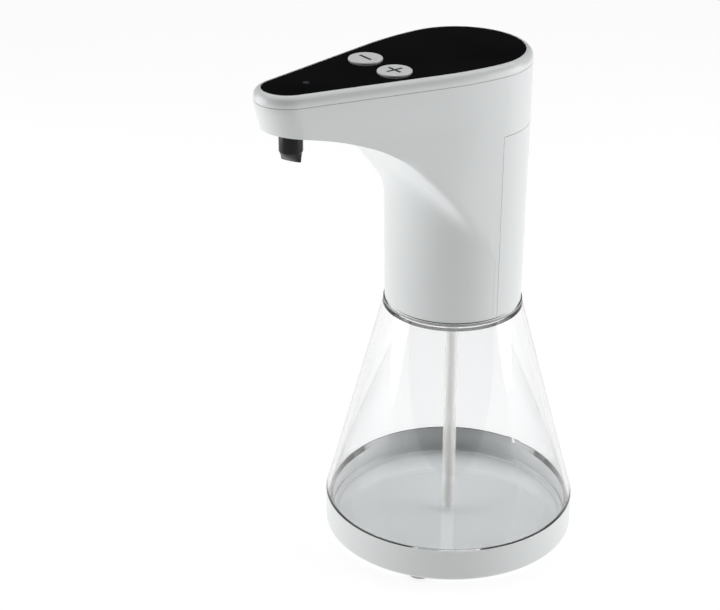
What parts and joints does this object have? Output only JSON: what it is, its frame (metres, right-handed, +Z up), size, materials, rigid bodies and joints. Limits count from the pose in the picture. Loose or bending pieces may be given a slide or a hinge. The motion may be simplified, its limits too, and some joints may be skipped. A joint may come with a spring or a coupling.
{
  "type": "countertop soap dispenser",
  "caption": "Free-standing automatic soap dispenser: clear conical bottle on a base cap, pump head with forward arm, touch-free sensor, sprung keys and battery door.",
  "frame": {"origin": "where the bottle's axis meets the surface that the feet stand on", "axes": "+Z up along the bottle's axis, -Y towards the tip of the arm, +X to the plus key's side"},
  "size_m": [0.116, 0.1602, 0.2353],
  "materials": {
    "clear_shell": "clear moulded plastic, glossy",
    "white_shell": "white moulded plastic, glossy",
    "black_gloss": "black plate, high gloss",
    "key_white": "off-white moulded plastic",
    "mark_black": "black inlay",
    "nozzle_black": "black moulded silicone",
    "foot_rubber": "grey rubber",
    "gasket_grey": "grey silicone",
    "milky_tube": "milky translucent tube",
    "lens_dark": "dark red infrared window",
    "lens_smoke": "smoked indicator lens",
    "pump_plastic": "natural moulded plastic",
    "gear_plastic": "acetal",
    "frame_plastic": "black moulded plastic",
    "board_green": "solder mask",
    "steel": "plain steel",
    "magnet_dark": "ferrite",
    "copper": "wound copper",
    "cell_jacket": "plain jacket",
    "diode_clear": "clear epoxy",
    "chip_white": "indicator chip"
  },
  "bodies": {
    "stand": {"bottle": "clear_shell", "base_cap": "white_shell", "feet": "foot_rubber", "bottle_gasket": "gasket_grey"},
    "head": {"body_housing": "white_shell", "top_cover": "white_shell", "top_plate": "black_gloss", "key_switches": "frame_plastic", "indicator_lens": "lens_smoke", "indicator_light": "chip_white", "main_board": "board_green", "sensor_window": "lens_dark", "sensor_holder": "frame_plastic", "infrared_emitter": "diode_clear", "infrared_receiver": "diode_clear", "sensor_board": "board_green", "nozzle": "nozzle_black", "nozzle_elbow": "pump_plastic", "outlet_hose": "milky_tube", "dip_tube": "milky_tube", "inlet_nipple": "pump_plastic", "pump_carrier": "pump_plastic", "air_valve": "gasket_grey", "pump_body": "pump_plastic", "pump_cover": "pump_plastic", "motor_can": "steel", "motor_end_cap": "frame_plastic", "motor_magnets": "magnet_dark", "shaft_seal": "nozzle_black", "battery_holder": "frame_plastic", "batteries": "cell_jacket", "cell_springs": "steel", "contact_plates": "steel", "screws": "steel"},
    "battery_cover": {"battery_door": "white_shell"},
    "minus_button": {"minus_key": "key_white", "minus_mark": "mark_black"},
    "plus_button": {"plus_key": "key_white", "plus_mark": "mark_black"},
    "minus_pin": {"minus_plunger": "frame_plastic"},
    "plus_pin": {"plus_plunger": "frame_plastic"},
    "pump_drive": {"drive_gear": "gear_plastic", "motor_shaft": "steel", "motor_rotor": "copper"},
    "pump_idler": {"idler_gear": "gear_plastic"}
  },
  "joints": [
    {"name": "head_lift", "type": "slide", "parent": "stand", "child": "head", "axis": [0, 0, 1], "range_m": [0, 0.13]},
    {"name": "door_slide", "type": "slide", "parent": "head", "child": "battery_cover", "axis": [0, 1, 0], "range_m": [0, 0.04]},
    {"name": "minus_press", "type": "slide", "parent": "head", "child": "minus_button", "axis": [0, 0, -1], "range_m": [0, 0.0006], "stiffness_N_per_m": 2500, "springref_m": -0.0003},
    {"name": "plus_press", "type": "slide", "parent": "head", "child": "plus_button", "axis": [0, 0, -1], "range_m": [0, 0.0006], "stiffness_N_per_m": 2500, "springref_m": -0.0003},
    {"name": "minus_pin_press", "type": "slide", "parent": "head", "child": "minus_pin", "axis": [0, 0, -1], "range_m": [0, 0.0006]},
    {"name": "plus_pin_press", "type": "slide", "parent": "head", "child": "plus_pin", "axis": [0, 0, -1], "range_m": [0, 0.0006]},
    {"name": "pump_spin", "type": "hinge", "parent": "head", "child": "pump_drive", "pos_m": [-0.005, -0.01, 0.15], "axis": [0, 0, 1], "continuous": true},
    {"name": "idler_spin", "type": "hinge", "parent": "head", "child": "pump_idler", "pos_m": [0.005, -0.01, 0.135], "axis": [0, 0, 1], "continuous": true}
  ],
  "couplings": [
    {"joint": "minus_pin_press", "follows": "minus_press", "ratio": 1},
    {"joint": "plus_pin_press", "follows": "plus_press", "ratio": 1},
    {"joint": "idler_spin", "follows": "pump_spin", "ratio": -1}
  ]
}
